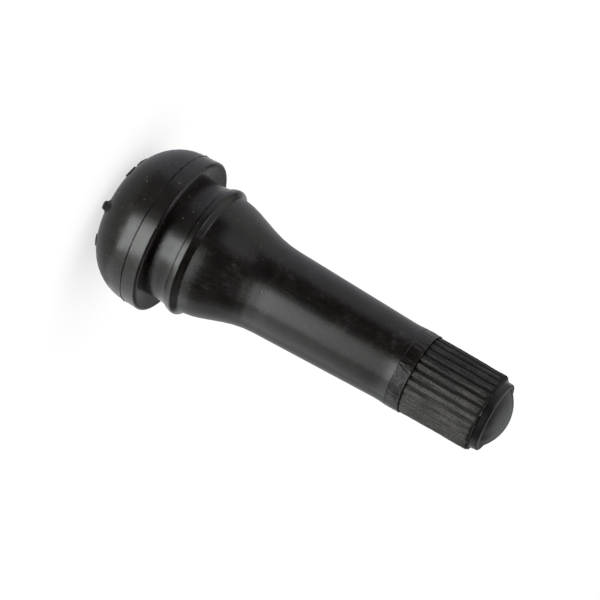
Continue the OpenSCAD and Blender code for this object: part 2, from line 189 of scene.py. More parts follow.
def new_material(name):
    """A new material, its node tree, its shader, and the place on the piece that its patterns start from."""
    material = bpy.data.materials.new(name)
    material.use_nodes = True
    tree = material.node_tree
    return material, tree, tree.nodes["Principled BSDF"], add(tree, "ShaderNodeTexCoord").outputs["Object"]


def plain(piece):
    """Turns what a piece's modifiers make into its plain mesh, and removes them."""
    bpy.context.view_layer.update()
    seen = piece.evaluated_get(bpy.context.evaluated_depsgraph_get())
    mesh = bpy.data.meshes.new_from_object(seen)
    piece.modifiers.clear()
    piece.data = mesh
    return piece


def new_shape_tree(name, *inputs):
    """A geometry tree with a mesh and a material coming in, and a number for each named input."""
    tree = bpy.data.node_groups.new(name, "GeometryNodeTree")
    tree.interface.new_socket("Mesh", in_out="INPUT", socket_type="NodeSocketGeometry")
    tree.interface.new_socket("Material", in_out="INPUT", socket_type="NodeSocketMaterial")
    for label in inputs:
        tree.interface.new_socket(label, in_out="INPUT", socket_type="NodeSocketFloat")
    tree.interface.new_socket("Mesh", in_out="OUTPUT", socket_type="NodeSocketGeometry")
    return tree, add(tree, "NodeGroupInput").outputs


def end_tree(tree, geometry, given):
    """Every tree ends in real geometry with the piece's material; gives the finished tree."""
    real = add(tree, "GeometryNodeRealizeInstances", {0: geometry})
    painted = add(tree, "GeometryNodeSetMaterial", {"Geometry": real, "Material": given["Material"]})
    add(tree, "NodeGroupOutput", {0: painted})
    return tree


def grown(piece, tree, material, **sizes):
    """Runs a geometry tree on a piece, with input names in lower case, and keeps the result as its mesh."""
    modifier = piece.modifiers.new(tree.name, "NODES")
    modifier.node_group = tree
    values = dict(sizes, material=material)
    for socket in tree.interface.items_tree:
        label = socket.name.lower().replace(" ", "_")
        if socket.in_out == "INPUT" and label in values:
            modifier[socket.identifier] = values[label]
    return plain(piece)


def polar(tree):
    """Each point's way out from the axis, its distance from it, its angle and its height."""
    spot = add(tree, "ShaderNodeSeparateXYZ", {0: add(tree, "GeometryNodeInputPosition")}).outputs
    outward = add(tree, "ShaderNodeCombineXYZ", {"X": spot["X"], "Y": spot["Y"]})
    radius = add(tree, VECTOR_MATH, {0: outward}, "LENGTH").outputs["Value"]
    angle = add(tree, MATH, {0: spot["Y"], 1: spot["X"]}, "ARCTAN2")
    return outward, radius, angle, spot["Z"]


def pull_in(tree, given, outward, radius, depth, wall=None):
    """Ends a tree by moving points towards the axis by depth, only on the wall if a selection is given."""
    share = add(tree, MATH, {0: depth, 1: radius}, "DIVIDE")
    back = add(tree, MATH, {0: share, 1: -1.0}, "MULTIPLY")
    shift = add(tree, VECTOR_MATH, {0: outward, "Scale": back}, "SCALE")
    links = {"Geometry": given["Mesh"], "Offset": shift}
    if wall is not None:
        links["Selection"] = wall
    return end_tree(tree, add(tree, "GeometryNodeSetPosition", links), given)


def band_mask(tree, height, foot, top, fade):
    """1 between two heights and 0 outside them, with a soft change of length fade inside each end."""
    foot_in = add(tree, MATH, {0: foot, 1: fade}, "ADD")
    top_in = add(tree, MATH, {0: top, 1: fade}, "SUBTRACT")
    rise = add(tree, MAP_RANGE, {"Value": height, 1: foot, 2: foot_in}, interpolation_type="SMOOTHSTEP")
    fall = add(tree, MAP_RANGE, {"Value": height, 1: top, 2: top_in}, interpolation_type="SMOOTHSTEP")
    return add(tree, MATH, {0: rise, 1: fall}, "MULTIPLY")


# A right-handed thread is cut by pulling a round wall in along a helix, so a screw and its nut share a rule.
# From crest to root is half a pitch, and the flank lies between two shares of the pitch
half_pitch = 0.5
flank_from, flank_to = 0.07, 0.43
tree, given = new_shape_tree(
    "screw_thread", "Wall radius", "Wall play", "Pitch", "Depth", "Foot", "Top", "Run out")
outward, radius, angle, height = polar(tree)
turns_up = add(tree, MATH, {0: height, 1: given["Pitch"]}, "DIVIDE")
turns_round = add(tree, MATH, {0: angle, 1: FULL_TURN}, "DIVIDE")
phase = add(tree, MATH, {0: turns_up, 1: turns_round}, "SUBTRACT")
ramp = add(tree, MATH, {0: phase, 1: half_pitch}, "PINGPONG")
flanks = add(tree, MAP_RANGE, {"Value": ramp, 1: flank_from, 2: flank_to}, interpolation_type="SMOOTHSTEP")
cut_length = band_mask(tree, height, given["Foot"], given["Top"], given["Run out"])
full_cut = add(tree, MATH, {0: flanks, 1: given["Depth"]}, "MULTIPLY")
cut = add(tree, MATH, {0: full_cut, 1: cut_length}, "MULTIPLY")
# A point below the wall, on a bevel, is cut only as far as the groove is deeper than it
below_wall = add(tree, MATH, {0: given["Wall radius"], 1: radius}, "SUBTRACT")
left_to_cut = add(tree, MATH, {0: cut, 1: below_wall}, "SUBTRACT")
cut_here = add(tree, MATH, {0: left_to_cut, 1: 0.0}, "MAXIMUM")
on_wall = add(tree, MATH, {0: radius, 1: given["Wall radius"], 2: given["Wall play"]}, "COMPARE")
thread_tree = pull_in(tree, given, outward, radius, cut_here, on_wall)

# Turned brass: warm yellow metal with fine rings left by the tool and a faint brown tarnish
brass, tree, shader, spot = new_material("turned_brass")
tarnish = add(tree, NOISE, {"Vector": spot, "Scale": per_mm(1.8), "Detail": 4.0})
yellow = add(tree, COLOUR_RAMP, {"Fac": tarnish}, stops=[(0.35, "#9a7636"), (0.6, "#c29d55")])
# Tool rings are about 0.03 mm apart; they are drawn at 0.12 mm so that they show
along = add(tree, "ShaderNodeMapping", {"Vector": spot, "Scale": (0.02, 0.02, 1.0)})
tool_rings = add(tree, NOISE, {"Vector": along, "Scale": per_mm(0.12), "Detail": 2.0})
dull = add(tree, MAP_RANGE, {"Value": tool_rings, 1: 0.3, 2: 0.7, 3: 0.24, 4: 0.42})
relief = add(tree, BUMP, {"Strength": 0.4, "Distance": 0.004 * MM, "Height": tool_rings})
feed(tree, shader, {"Metallic": 1.0, "Base Color": yellow, "Roughness": dull, "Normal": relief})

foot_z, tip_z, foot_r = extent("brass_stem")
_, rubber_len, seam_r = extent("rubber_body")
gasket_z, gasket_top_z, gasket_r = extent("barrel_gasket")
plug_z, plug_top_z, core_thread_r = extent("core_plug")
foot_t = 1.2
tube_r = 3.5
key_count, key_pitch, key_w, key_depth = 4, 4.0, 1.0, 0.3
key_z = 10.95
thread_r = 3.85
thread_sunk = 0.1
thread_foot_z = rubber_len - thread_sunk
thread_runout = 0.35
thread_step = 0.08
tip_chamfer = 0.4
mouth_chamfer = 0.28
cap_pitch = INCH / 32
cap_thread_depth = 0.38
cap_run_out = 0.3
core_pitch = INCH / 36
core_thread_depth = 0.28
core_run_out = 0.5
core_gap = 0.07
wall_play = 0.015
core_hole_r = core_thread_r + core_gap
core_hole_relief = 0.06
core_hole_z = plug_z - core_hole_relief
seat_gap = 0.04
passage_r = 1.7
chamber_r = 2.0
chamber_z = 26.29
seat_low_z = 38.625
stem_edge = 0.06

keys = []
for i in range(key_count):
    ring_z = key_z + i * key_pitch
    keys += [(tube_r, ring_z), (tube_r - key_depth, ring_z),
             (tube_r - key_depth, ring_z + key_w), (tube_r, ring_z + key_w)]
stem = turned("brass_stem_turned", [
    (passage_r, foot_z, stem_edge),
    (foot_r, foot_z, stem_edge),
    (foot_r, foot_z + foot_t, stem_edge),
    (tube_r, foot_z + foot_t + foot_r - tube_r),
    *keys,
    (tube_r, thread_foot_z - thread_runout),
    (thread_r, thread_foot_z),
    (thread_r, tip_z - tip_chamfer, stem_edge),
    (thread_r - tip_chamfer, tip_z, stem_edge),
    (core_hole_r + mouth_chamfer, tip_z, stem_edge),
    (core_hole_r, tip_z - mouth_chamfer),
    (core_hole_r, core_hole_z),
    (gasket_r + seat_gap, gasket_top_z),
    (chamber_r, seat_low_z),
    (chamber_r, chamber_z),
    (passage_r, chamber_z),
], sides=144, longest=1.0, fine_bands=[(core_hole_z, tip_z, thread_step)])
grown(stem, thread_tree, brass, **in_mm(
    wall_radius=thread_r, wall_play=wall_play, pitch=cap_pitch, depth=cap_thread_depth,
    foot=thread_foot_z, top=tip_z - tip_chamfer, run_out=cap_run_out))
grown(stem, thread_tree, brass, **in_mm(
    wall_radius=core_hole_r, wall_play=wall_play, pitch=core_pitch, depth=core_thread_depth,
    foot=core_hole_z, top=tip_z - mouth_chamfer, run_out=core_run_out))
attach(stem, "valve_body")
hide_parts("brass_stem")


# Rubber body. Black EPDM rubber, moulded around the brass stem in a mould of stacked rings.
# A rim snaps into the groove between the domed head and the sealing bulge, and each joint of the
# mould leaves a thin uneven seam; the collar at the end is rough where the flash was torn off.

# The mould's joints and the torn collar are uneven: points of one wall are pulled in by a random share
# of a depth
tree, given = new_shape_tree(
    "uneven_band", "Wall radius", "Wall play", "Foot", "Top", "Fade",
    "Depth", "Lump size", "Draw out", "Seed")
outward, radius, angle, height = polar(tree)
lumps_per_metre = add(tree, MATH, {0: 1.0, 1: given["Lump size"]}, "DIVIDE")
squeeze = add(tree, MATH, {0: 1.0, 1: given["Draw out"]}, "DIVIDE")
drawn_out = add(tree, VECTOR_MATH, {
    0: add(tree, "GeometryNodeInputPosition"),
    1: add(tree, "ShaderNodeCombineXYZ", {"X": 1.0, "Y": 1.0, "Z": squeeze})}, "MULTIPLY")
lumps = add(tree, NOISE, {
    "Vector": drawn_out, "W": given["Seed"], "Scale": lumps_per_metre, "Detail": 3.0}, noise_dimensions="4D")
missing = add(tree, MAP_RANGE, {"Value": lumps, 1: 0.3, 2: 0.55})
in_band = band_mask(tree, height, given["Foot"], given["Top"], given["Fade"])
deep = add(tree, MATH, {0: missing, 1: given["Depth"]}, "MULTIPLY")
deep_here = add(tree, MATH, {0: deep, 1: in_band}, "MULTIPLY")
on_wall = add(tree, MATH, {0: radius, 1: given["Wall radius"], 2: given["Wall play"]}, "COMPARE")
uneven_tree = pull_in(tree, given, outward, radius, deep_here, on_wall)

# A mix of colours takes inputs 6 and 7 and gives output 2; a mix of numbers takes inputs 2 and 3
MIX = "ShaderNodeMix"

# EPDM rubber: brown-black with a satin skin, clouded by a grey bloom, with pale dust and rubbing marks
rubber, tree, shader, spot = new_material("moulded_epdm_rubber")
bloom = add(tree, NOISE, {"Vector": spot, "Scale": per_mm(4.0), "Detail": 7.0, "Roughness": 0.62})
# The skin's grain of about 0.08 mm is drawn at 0.2 mm so that it shows
grain = add(tree, NOISE, {"Vector": spot, "Scale": per_mm(0.2), "Detail": 3.0})
mottled = add(tree, MATH, {0: grain, 1: 0.5, 2: bloom}, "MULTIPLY_ADD")
skin = add(tree, COLOUR_RAMP, {"Fac": mottled}, stops=[
    (0.61, "#110b0a"), (0.93, "#252021"), (0.77, "#1b1311")])
# Scuffs are broken patches about 1 mm wide that come in groups
scuffs = add(tree, NOISE, {"Vector": spot, "Scale": per_mm(1.1), "Detail": 8.0, "Roughness": 0.78})
groups = add(tree, MAP_RANGE, {"Value": bloom, 1: 0.44, 2: 0.6, 3: 0.0, 4: 0.75})
scuffed = add(tree, MAP_RANGE, {"Value": scuffs, 1: 0.52, 2: 0.7, 3: 0.0, 4: groups})
worn_skin = add(tree, MIX, {"Factor": scuffed, 6: skin, 7: linear("#4a4643")}, data_type="RGBA")
# Dust grains of about 0.05 mm are drawn up to 0.14 mm wide so that they show; each 0.4 mm has room for one.
# Dust gathers on the head: a third of its places are empty, and above it seven in ten, with fainter grains
dusty_below_z, cleaner_above_z = 9, 12
height = add(tree, "ShaderNodeSeparateXYZ", {0: spot}).outputs["Z"]
up_the_neck = {"Value": height, 1: dusty_below_z * MM, 2: cleaner_above_z * MM}
empty_share = add(tree, MAP_RANGE, {**up_the_neck, 3: 0.33, 4: 0.7})
brightest = add(tree, MAP_RANGE, {**up_the_neck, 3: 1.0, 4: 0.3})
grains = add(tree, "ShaderNodeTexVoronoi", {"Vector": spot, "Scale": per_mm(0.4)})
grain_draw = add(tree, "ShaderNodeSeparateColor", {0: grains.outputs["Color"]}).outputs
grain_edge = add(tree, MAP_RANGE, {"Value": grain_draw["Red"], 1: empty_share, 2: 1.0, 3: 0.0, 4: 0.17})
is_grain = add(tree, MATH, {0: grains.outputs["Distance"], 1: grain_edge}, "LESS_THAN")
grain_light = add(tree, MATH, {0: grain_draw["Green"], 1: brightest}, "MULTIPLY")
grain_colour = add(tree, MIX, {
    "Factor": grain_light, 6: linear("#45423d"), 7: linear("#b3aea5")}, data_type="RGBA")
dusty = add(tree, MIX, {
    "Factor": is_grain, 6: worn_skin.outputs[2], 7: grain_colour.outputs[2]}, data_type="RGBA")
# Handling rubs the rubber along the stem: faint streaks, the same at every radius as at streak_r
streak_w, streak_l, streak_r = 0.4, 8.0, 6
level_spot = add(tree, VECTOR_MATH, {0: spot, 1: (1.0, 1.0, 0.0)}, "MULTIPLY")
around = add(tree, VECTOR_MATH, {0: level_spot}, "NORMALIZE")
drawn_along = add(tree, VECTOR_MATH, {0: spot, 1: (0.0, 0.0, streak_w / streak_l)}, "MULTIPLY")
streak_space = add(tree, VECTOR_MATH, {
    0: around, 1: (streak_r * MM, streak_r * MM, 0.0), 2: drawn_along}, "MULTIPLY_ADD")
streaks = add(tree, NOISE, {"Vector": streak_space, "Scale": per_mm(streak_w), "Detail": 3.0})
satin = add(tree, MAP_RANGE, {"Value": streaks, 1: 0.3, 2: 0.7, 3: 0.27, 4: 0.34})
dull = add(tree, MATH, {0: scuffed, 1: 0.2, 2: satin}, "MULTIPLY_ADD")
# The skin is slightly wavy under its grain
waves = add(tree, BUMP, {"Strength": 0.5, "Distance": 0.03 * MM, "Height": bloom})
relief = add(tree, BUMP, {"Strength": 0.7, "Distance": 0.01 * MM, "Height": grain, "Normal": waves})
feed(tree, shader, {"IOR": 1.5, "Base Color": dusty.outputs[2], "Roughness": dull, "Normal": relief})

seam_h = 0.18
neck_seam_h = 0.06
seam_w = 0.2
crease_d = 0.1
collar_crease_d = 0.04
flange_r = seam_r - seam_h
flange_edge = 0.4
base_flat_r = 3.45
head_arc_r = flange_r - base_flat_r
head_seam_rise = 0.09
head_h = 8.4
flange_flare = 0.12
groove_undercut = 0.3
neck_r, neck_top_r = 7.5, 7.7
neck_flare_z, neck_top_z = 9.7, 10.95
neck_bend = 4.0
neck_seam_rise = 0.12
bulge_r = 8.08
bulge_step, bulge_step_rise = 0.22, 0.1
bulge_land_z, bulge_fall_z = 11.52, 12.06
bulge_round, bulge_edge = 1.3, 0.42
shoulder_r, shoulder_z = 7.45, 12.61
shoulder_top_r, cone_z = 7.28, 14.01
shoulder_blend = 8.0
stem_root_r, stem_z = 5.42, 19.36
stem_blend = 13.0
flare_foot_r, flare_top_r = 4.805, 4.915
flare_len = 1.7
flare_bend = 9.0
collar_r = 4.925
collar_z = 38.8
collar_crease_z, collar_crease_top_z, collar_lip_z = collar_z + 0.04, collar_z + 0.06, collar_z + 0.1
collar_edge = 0.03
collar_step = 0.1
torn_lip_h, torn_lip_w = 0.085, 0.6
torn_lip_edge = 0.05
air_hole_r = 2.0
air_hole_edge = 0.4


def seam(r, z, rib_h):
    """The rib that the mould's joint leaves around radius r at height z, with a dark crease beside it."""
    return [(r, z - seam_w / 2), (r + rib_h, z - seam_w / 8), (r + rib_h, z), (r - crease_d, z + seam_w / 4),
            (r - crease_d, z + seam_w / 3), (r, z + seam_w / 2)]


head_seam_z = head_arc_r + head_seam_rise
neck_seam_z = neck_top_z + neck_seam_rise
rubber_piece = turned("rubber_body_moulded", [
    (air_hole_r, air_hole_edge, air_hole_edge / 2),
    (air_hole_r + air_hole_edge, 0, air_hole_edge / 2),
    (flange_r, 0, head_arc_r),
    *seam(flange_r, head_seam_z, seam_h),
    (flange_r + flange_flare, head_h, flange_edge),
    (neck_r, head_h - groove_undercut),
    (neck_r, neck_flare_z, neck_bend),
    (neck_top_r, neck_seam_z - seam_w),
    *seam(neck_top_r, neck_seam_z, neck_seam_h),
    (neck_top_r + bulge_step, neck_seam_z + bulge_step_rise),
    (bulge_r, bulge_land_z, bulge_round),
    (bulge_r, bulge_fall_z, bulge_edge),
    (shoulder_r, shoulder_z, bulge_edge),
    (shoulder_top_r, cone_z, shoulder_blend),
    (stem_root_r, stem_z, stem_blend),
    (flare_foot_r, collar_z - flare_len / 2, flare_bend),
    (flare_top_r, collar_z, collar_edge),
    (collar_r - collar_crease_d, collar_crease_z),
    (collar_r - collar_crease_d, collar_crease_top_z),
    (collar_r, collar_lip_z, collar_edge),
    (collar_r, rubber_len + torn_lip_h, torn_lip_edge),
    (collar_r - torn_lip_w, rubber_len + torn_lip_h, collar_edge),
    (collar_r - torn_lip_w, rubber_len),
    (thread_r, rubber_len),
    (thread_r, thread_foot_z),
    (tube_r, thread_foot_z - thread_runout),
    *reversed(keys),
    (tube_r, foot_z + foot_t + foot_r - tube_r),
    (foot_r, foot_z + foot_t),
    (foot_r, foot_z),
    (air_hole_r, foot_z),
], sides=288, longest=0.6, fine_bands=[(collar_z, rubber_len, collar_step)])
# Each rib is missing here and there, and a negative depth, which pushes out, fills its crease here and there
rib_missing, rib_lump = 0.85, 1.6
crease_filled, crease_lump = 0.8, 4.0
for seam_wall_r, seam_z, rib_h, seed in (
        (flange_r, head_seam_z, seam_h, 3.0), (neck_top_r, neck_seam_z, neck_seam_h, 8.0)):
    for wall_r, depth, lump_size in (
            (seam_wall_r + rib_h, rib_missing * rib_h, rib_lump),
            (seam_wall_r - crease_d, -crease_filled * crease_d, crease_lump)):
        grown(rubber_piece, uneven_tree, rubber, draw_out=1.0, seed=seed, **in_mm(
            wall_radius=wall_r, wall_play=0.01, foot=seam_z - seam_w, top=seam_z + seam_w, fade=0.01,
            depth=depth, lump_size=lump_size))
torn_over, torn_fade, torn_depth, torn_lump = 0.2, 0.1, 0.05, 0.22
grown(rubber_piece, uneven_tree, rubber, draw_out=4.0, seed=5.0, **in_mm(
    wall_radius=collar_r, wall_play=0.02, foot=collar_z, top=rubber_len + torn_over, fade=torn_fade,
    depth=torn_depth, lump_size=torn_lump))
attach(rubber_piece, "valve_body")
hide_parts("rubber_body")


# Raised marks and the pip on the head. Both are rubber that filled shallow cuts and a vent in the mould,
# so they are part of the moulding; the marks are plain bars on the rounded shoulder around the base.


def on_ring(tree, turn, reach, height):
    """The point at an angle around the axis, at a reach from it and at a height."""
    across = add(tree, MATH, {0: turn}, "COSINE")
    deep = add(tree, MATH, {0: turn}, "SINE")
    return add(tree, "ShaderNodeCombineXYZ", {
        "X": add(tree, MATH, {0: across, 1: reach}, "MULTIPLY"),
        "Y": add(tree, MATH, {0: deep, 1: reach}, "MULTIPLY"), "Z": height})


tree, given = new_shape_tree(
    "ring_of_marks", "Count", "First angle", "Step angle", "Ring radius", "Ring height", "Lean")
row = add(tree, "GeometryNodeMeshLine", {"Count": given["Count"]})
number = add(tree, "GeometryNodeInputIndex")
steps = add(tree, MATH, {0: number, 1: given["Step angle"]}, "MULTIPLY")
turn = add(tree, MATH, {0: steps, 1: given["First angle"]}, "ADD")
place = on_ring(tree, turn, given["Ring radius"], given["Ring height"])
facing = add(tree, "ShaderNodeCombineXYZ", {"Y": given["Lean"], "Z": turn})
spots = add(tree, "GeometryNodeSetPosition", {"Geometry": row, "Position": place})
marks = add(tree, "GeometryNodeInstanceOnPoints", {
    "Points": spots, "Instance": given["Mesh"],
    "Rotation": add(tree, "FunctionNodeEulerToRotation", {0: facing})})
marks_tree = end_tree(tree, marks, given)

mark_reach = 5.95
mark_l, mark_w, mark_h = 1.35, 0.9, 0.14
mark_sunk = 0.3
mark_edge = 0.1
mark_count = 12
mark_step = math.radians(24)
first_mark = math.radians(-32)
mark_lean = math.asin((mark_reach - base_flat_r) / head_arc_r)

block = bmesh.new()
bmesh.ops.create_cube(block, size=1.0)
block.transform(Matrix.Translation((0, 0, (mark_h - mark_sunk) / 2 * MM))
                @ Matrix.Diagonal((mark_w * MM, mark_l * MM, (mark_h + mark_sunk) * MM, 1)))
bmesh.ops.bevel(block, geom=block.edges[:], offset=mark_edge * MM, segments=3, profile=0.5, affect="EDGES")
mark_ring = grown(as_piece("raised_marks", block), marks_tree, rubber,
                  count=float(mark_count), first_angle=first_mark, step_angle=mark_step,
                  ring_radius=mark_reach * MM, ring_height=head_arc_r * (1 - math.cos(mark_lean)) * MM,
                  lean=math.pi - mark_lean)

pip_reach = 6.2
pip_angle = math.radians(-80)
pip_h = 0.55
pip_sunk = 0.5
pip_root_r, pip_neck_r, pip_tip_r = 0.95, 0.6, 0.48
pip_root_z, pip_neck_z = -0.05, 0.16
pip_root_edge, pip_neck_bend, pip_tip_round = 0.05, 0.25, 0.26
pip_lean = math.asin((pip_reach - base_flat_r) / head_arc_r)
pip = turned("moulding_pip", [
    (0, -pip_sunk),
    (pip_root_r, -pip_sunk),
    (pip_root_r, pip_root_z, pip_root_edge),
    (pip_neck_r, pip_neck_z, pip_neck_bend),
    (pip_tip_r, pip_h, pip_tip_round),
    (0, pip_h),
], sides=48, longest=0.15)
pip_place = Vector((pip_reach * math.cos(pip_angle), pip_reach * math.sin(pip_angle),
                    head_arc_r * (1 - math.cos(pip_lean))))
pip.data.transform(Matrix.Translation(pip_place * MM)
                   @ Euler((0, math.pi - pip_lean, pip_angle)).to_matrix().to_4x4())
pip.data.materials.append(rubber)
for piece in (mark_ring, pip):
    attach(piece, "valve_body")


# Core barrel. A small brass tube that carries the spring on its floor and the gasket in its groove.
# The plug above swivels on its neck, so the barrel goes down without turning when the core is screwed in.

barrel_z, barrel_top_z, barrel_shoulder_r = extent("core_barrel")
spring_z, spring_top_z, spring_r = extent("core_spring")
barrel_r = 1.65
barrel_bore_r = 1.23
pin_hole_r = 0.73
nose_r, nose_h = 1.27, 0.4
gasket_groove_r = 1.45
swivel_r, swivel_flange_r, swivel_flange_t = 1.43, 1.71, 0.5
spring_gap = 0.06
barrel_floor_z = spring_z - spring_gap
barrel_shoulder_t = 0.6
fine_edge = 0.04
barrel = turned("core_barrel_turned", [
    (pin_hole_r, barrel_z, fine_edge),
    (nose_r, barrel_z, fine_edge),
    (barrel_r, barrel_z + nose_h, fine_edge),
    (barrel_r, gasket_z, fine_edge),
    (gasket_groove_r, gasket_z),
    (gasket_groove_r, gasket_top_z),
    (barrel_shoulder_r, gasket_top_z, fine_edge),
    (barrel_shoulder_r, gasket_top_z + barrel_shoulder_t, fine_edge),
    (swivel_r, gasket_top_z + barrel_shoulder_t),
    (swivel_r, barrel_top_z - swivel_flange_t),
    (swivel_flange_r, barrel_top_z - swivel_flange_t, fine_edge),
    (swivel_flange_r, barrel_top_z, fine_edge),
    (barrel_bore_r, barrel_top_z, fine_edge),
    (barrel_bore_r, barrel_floor_z),
    (pin_hole_r, barrel_floor_z, fine_edge),
], sides=72, longest=0.6)
barrel.data.materials.append(brass)
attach(barrel, "core")
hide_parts("core_barrel")


# Barrel gasket. A tapered ring of off-white PTFE in the barrel's groove, which seals on the stem's cone
# when the plug presses the core down.

# Turned PTFE: waxy off-white with a soft sheen, slightly stained where it rubs on brass
ptfe, tree, shader, spot = new_material("turned_ptfe")
stain = add(tree, NOISE, {"Vector": spot, "Scale": per_mm(0.8), "Detail": 4.0})
wax = add(tree, COLOUR_RAMP, {"Fac": stain}, stops=[(0.3, "#c9c3b3"), (0.6, "#dedad0")])
waxy = add(tree, MAP_RANGE, {"Value": stain, 1: 0.3, 2: 0.7, 3: 0.38, 4: 0.5})
feed(tree, shader, {"IOR": 1.38, "Base Color": wax, "Roughness": waxy})

gasket_low_r = 1.9
gasket_edge = 0.08
gasket = turned("barrel_gasket_ring", [
    (gasket_groove_r, gasket_z),
    (gasket_low_r, gasket_z, gasket_edge),
    (gasket_r, gasket_top_z, gasket_edge),
    (gasket_groove_r, gasket_top_z),
], sides=72, longest=0.3)
gasket.data.materials.append(ptfe)
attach(gasket, "core")
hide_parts("barrel_gasket")


# Core spring. Drawn spring wire, wound with closed end coils. It stands on the barrel's floor and
# lifts the pin by its collar, and shortens as the pin is pressed; here it is built at rest, as one fixed
# shape that rides with the core.

wire_sides = 12
tree, given = new_shape_tree(
    "coil_spring", "Foot", "Length", "Coil radius", "Wire radius", "Closed pitch", "Coils", "Steps per coil")
steps_in_all = add(tree, MATH, {0: given["Coils"], 1: given["Steps per coil"]}, "MULTIPLY")
points = add(tree, MATH, {0: steps_in_all, 1: 1.0}, "ADD")
row = add(tree, "GeometryNodeMeshLine", {"Count": points})
number = add(tree, "GeometryNodeInputIndex")
turns = add(tree, MATH, {0: number, 1: given["Steps per coil"]}, "DIVIDE")
swing = add(tree, MATH, {0: turns, 1: FULL_TURN}, "MULTIPLY")
# The first and last coil rise by the closed pitch, and the coils between them share the rest of the length
last_open = add(tree, MATH, {0: given["Coils"], 1: 1.0}, "SUBTRACT")
low_z = add(tree, MATH, {0: given["Foot"], 1: given["Wire radius"]}, "ADD")
low_open_z = add(tree, MATH, {0: low_z, 1: given["Closed pitch"]}, "ADD")
end_z = add(tree, MATH, {0: given["Foot"], 1: given["Length"]}, "ADD")
high_z = add(tree, MATH, {0: end_z, 1: given["Wire radius"]}, "SUBTRACT")
high_open_z = add(tree, MATH, {0: high_z, 1: given["Closed pitch"]}, "SUBTRACT")
first_part = add(tree, MAP_RANGE, {"Value": turns, 1: 0.0, 2: 1.0, 3: low_z, 4: low_open_z})
open_part = add(tree, MAP_RANGE, {"Value": turns, 1: 1.0, 2: last_open, 3: low_open_z, 4: high_open_z})
last_part = add(tree, MAP_RANGE, {"Value": turns, 1: last_open, 2: given["Coils"], 3: high_open_z, 4: high_z})
to_open = add(tree, MATH, {0: first_part, 1: open_part}, "ADD")
climb = add(tree, MATH, {0: to_open, 1: last_part}, "ADD")
over_count = add(tree, MATH, {0: low_open_z, 1: high_open_z}, "ADD")
coil_z = add(tree, MATH, {0: climb, 1: over_count}, "SUBTRACT")
path = add(tree, "GeometryNodeSetPosition", {
    "Geometry": row, "Position": on_ring(tree, swing, given["Coil radius"], coil_z)})
section = add(tree, "GeometryNodeCurvePrimitiveCircle", {
    "Resolution": wire_sides, "Radius": given["Wire radius"]})
wire = add(tree, "GeometryNodeCurveToMesh", {
    "Curve": add(tree, "GeometryNodeMeshToCurve", {0: path}), "Profile Curve": section, "Fill Caps": True})
coil_tree = end_tree(tree, wire, given)

# Drawn spring steel: cool grey metal, slightly dull from the drawing die
spring_steel, tree, shader, spot = new_material("drawn_spring_steel")
die_marks = add(tree, NOISE, {"Vector": spot, "Scale": per_mm(0.15), "Detail": 3.0})
steel = add(tree, COLOUR_RAMP, {"Fac": die_marks}, stops=[(0.3, "#a3a6aa"), (0.7, "#c3c6ca")])
dull = add(tree, MAP_RANGE, {"Value": die_marks, 1: 0.3, 2: 0.7, 3: 0.26, 4: 0.38})
feed(tree, shader, {"Metallic": 1.0, "Base Color": steel, "Roughness": dull})

coils = 9
steps_per_coil = 36
wire_r = 0.15
closed_pitch = 0.33
spring_len = spring_top_z - spring_z
spring = as_piece("core_spring_wound", bmesh.new())
grown(spring, coil_tree, spring_steel, coils=float(coils), steps_per_coil=float(steps_per_coil), **in_mm(
    foot=spring_z, length=spring_len, coil_radius=spring_r - wire_r, wire_radius=wire_r,
    closed_pitch=closed_pitch))
spring.data.shade_smooth()
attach(spring, "core")
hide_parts("core_spring")
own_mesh(spring)


# Pin, cup and cup seal. The brass pin runs through the core; its riveted end holds a pressed brass cup
# filled with rubber, which shuts against the barrel's nose until the pin's head is pressed.

# Seal rubber: dull black, with no shine from a polished mould
seal_rubber, tree, shader, spot = new_material("cut_seal_rubber")
crumb = add(tree, NOISE, {"Vector": spot, "Scale": per_mm(0.25), "Detail": 4.0})
dark = add(tree, COLOUR_RAMP, {"Fac": crumb}, stops=[(0.35, "#151515"), (0.7, "#242322")])
matt = add(tree, MAP_RANGE, {"Value": crumb, 1: 0.3, 2: 0.7, 3: 0.6, 4: 0.75})
relief = add(tree, BUMP, {"Strength": 0.4, "Distance": 0.01 * MM, "Height": crumb})
feed(tree, shader, {"Base Color": dark, "Roughness": matt, "Normal": relief})

rivet_z, pin_top_z, pin_collar_r = extent("core_pin")
cup_z, cup_top_z, cup_r = extent("pin_cup")
seal_z, seal_top_z, seal_r = extent("cup_seal")
pin_r = 0.55
pin_collar_z = spring_top_z + spring_gap
pin_collar_t = 0.4
pin_head_r, pin_head_t, pin_head_round = 0.8, 0.5, 0.3
rivet_r, rivet_round = 0.85, 0.25
cup_round = 0.18
seal_edge, seal_hole_edge = 0.1, 0.06
pin = turned("core_pin_turned", [
    (0, rivet_z),
    (rivet_r, rivet_z, rivet_round),
    (rivet_r, cup_z, fine_edge),
    (pin_r, cup_z),
    (pin_r, pin_collar_z),
    (pin_collar_r, pin_collar_z, fine_edge),
    (pin_collar_r, pin_collar_z + pin_collar_t, fine_edge),
    (pin_r, pin_collar_z + pin_collar_t),
    (pin_r, pin_top_z - pin_head_t),
    (pin_head_r, pin_top_z - pin_head_t, fine_edge),
    (pin_head_r, pin_top_z, pin_head_round),
    (0, pin_top_z),
], sides=48, longest=0.8)
pin.data.materials.append(brass)
cup = turned("pin_cup_pressed", [
    (pin_r, cup_z),
    (cup_r, cup_z, cup_round),
    (cup_r, cup_top_z, fine_edge),
    (seal_r, cup_top_z, fine_edge),
    (seal_r, seal_z),
    (pin_r, seal_z),
], sides=64, longest=0.4)
cup.data.materials.append(brass)
cup_seal = turned("cup_seal_ring", [
    (pin_r, seal_z),
    (seal_r, seal_z),
    (seal_r, seal_top_z, seal_edge),
    (pin_r, seal_top_z, seal_hole_edge),
], sides=64, longest=0.4)
cup_seal.data.materials.append(seal_rubber)
